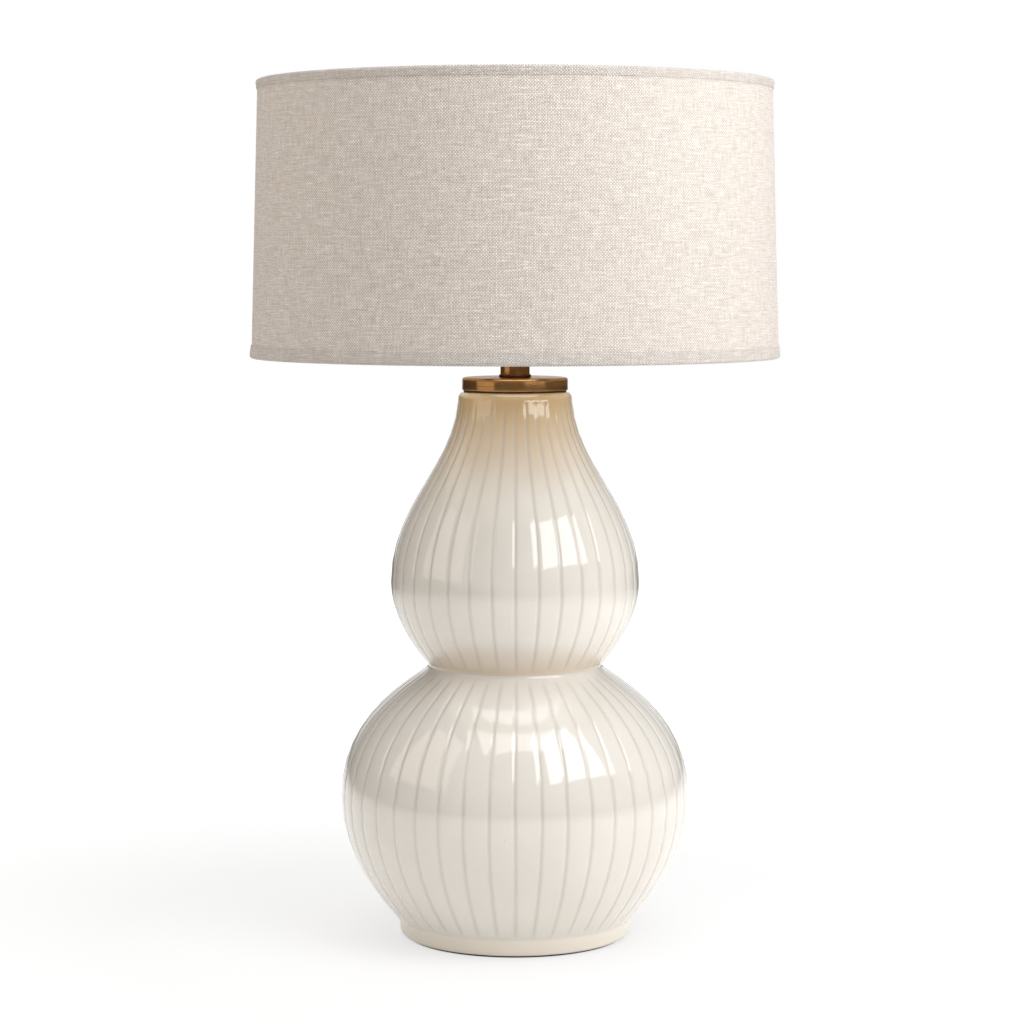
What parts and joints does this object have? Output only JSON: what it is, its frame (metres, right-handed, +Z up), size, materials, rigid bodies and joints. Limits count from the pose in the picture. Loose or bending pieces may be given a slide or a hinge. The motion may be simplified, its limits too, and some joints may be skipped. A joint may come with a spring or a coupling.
{
  "type": "double gourd table lamp",
  "caption": "Fluted double gourd table lamp in glazed ceramic with an antique brass neck and a linen drum shade on a harp.",
  "frame": {"origin": "where the lamp's axis meets the table, at the underside of the felt", "axes": "+Z up along the lamp's axis; -Y the front, where the switch knob points; +Y the back, where the cord comes in"},
  "size_m": [0.457, 0.457, 0.7419],
  "materials": {
    "cream_glaze": "gloss",
    "antique_brass": "brushed",
    "polished_brass": "satin",
    "linen": "woven",
    "linen_hem": "woven",
    "styrene": "matt",
    "spider_steel": "satin",
    "zinc_steel": "satin",
    "felt": "felted",
    "rubber": "matt",
    "phenolic": "satin",
    "fibre_board": "matt",
    "white_plastic": "satin",
    "opal_glass": "frosted",
    "aluminium": "satin"
  },
  "bodies": {
    "base": {"felt_pad": "felt", "base_plate": "zinc_steel", "lock_washer": "zinc_steel", "pipe_nut": "polished_brass", "threaded_pipe": "zinc_steel", "ceramic_body": "cream_glaze", "cord_bushing": "rubber", "neck_gasket": "rubber", "neck_cap": "antique_brass", "check_ring": "antique_brass", "neck_tube": "antique_brass", "harp_saddle": "polished_brass", "socket_cap": "polished_brass", "socket_shell": "polished_brass", "socket_liner": "fibre_board", "socket_interior": "phenolic", "terminal_screws": "polished_brass", "screw_shell": "aluminium", "centre_contact": "polished_brass"},
    "knob": {"switch_shaft": "polished_brass", "switch_knob": "phenolic"},
    "bulb": {"bulb_tip_contact": "aluminium", "bulb_insulator": "phenolic", "bulb_screw_cap": "aluminium", "bulb_housing": "white_plastic", "led_board": "aluminium", "bulb_globe": "opal_glass"},
    "harp": {"harp_wire": "polished_brass", "harp_head": "polished_brass"},
    "left_sleeve": {"harp_sleeve_left": "polished_brass"},
    "right_sleeve": {"harp_sleeve_right": "polished_brass"},
    "shade": {"spider_hub": "spider_steel", "spider_arms": "spider_steel", "shade_top_wire": "zinc_steel", "shade_bottom_wire": "zinc_steel", "shade_liner": "styrene", "shade_linen": "linen", "shade_top_hem": "linen_hem", "shade_bottom_hem": "linen_hem"},
    "collar": {"finial_collar": "antique_brass"},
    "finial": {"finial": "antique_brass"}
  },
  "joints": [
    {"name": "knob_turn", "type": "hinge", "parent": "base", "child": "knob", "pos_m": [0, -0.028, 0.546], "axis": [0, -1, 0], "continuous": true},
    {"name": "bulb_lift", "type": "slide", "parent": "base", "child": "bulb", "axis": [0, 0, 1], "range_m": [0, 0.034]},
    {"name": "harp_lift", "type": "slide", "parent": "base", "child": "harp", "axis": [0, 0, 1], "range_m": [0, 0.175]},
    {"name": "left_sleeve_slide", "type": "slide", "parent": "harp", "child": "left_sleeve", "axis": [0, 0, 1], "range_m": [0, 0.014]},
    {"name": "right_sleeve_slide", "type": "slide", "parent": "harp", "child": "right_sleeve", "axis": [0, 0, 1], "range_m": [0, 0.014]},
    {"name": "shade_swivel", "type": "hinge", "parent": "harp", "child": "shade", "pos_m": [0, 0, 0.7134], "axis": [0, 0, 1], "continuous": true},
    {"name": "finial_rise", "type": "slide", "parent": "harp", "child": "collar", "axis": [0, 0, 1], "range_m": [0, 0.0076]},
    {"name": "finial_turn", "type": "hinge", "parent": "collar", "child": "finial", "pos_m": [0, 0, 0.72], "axis": [0, 0, 1], "range_deg": [0, 2880]}
  ],
  "couplings": [
    {"joint": "finial_rise", "follows": "finial_turn", "m_per_rad": 0.00014972}
  ]
}
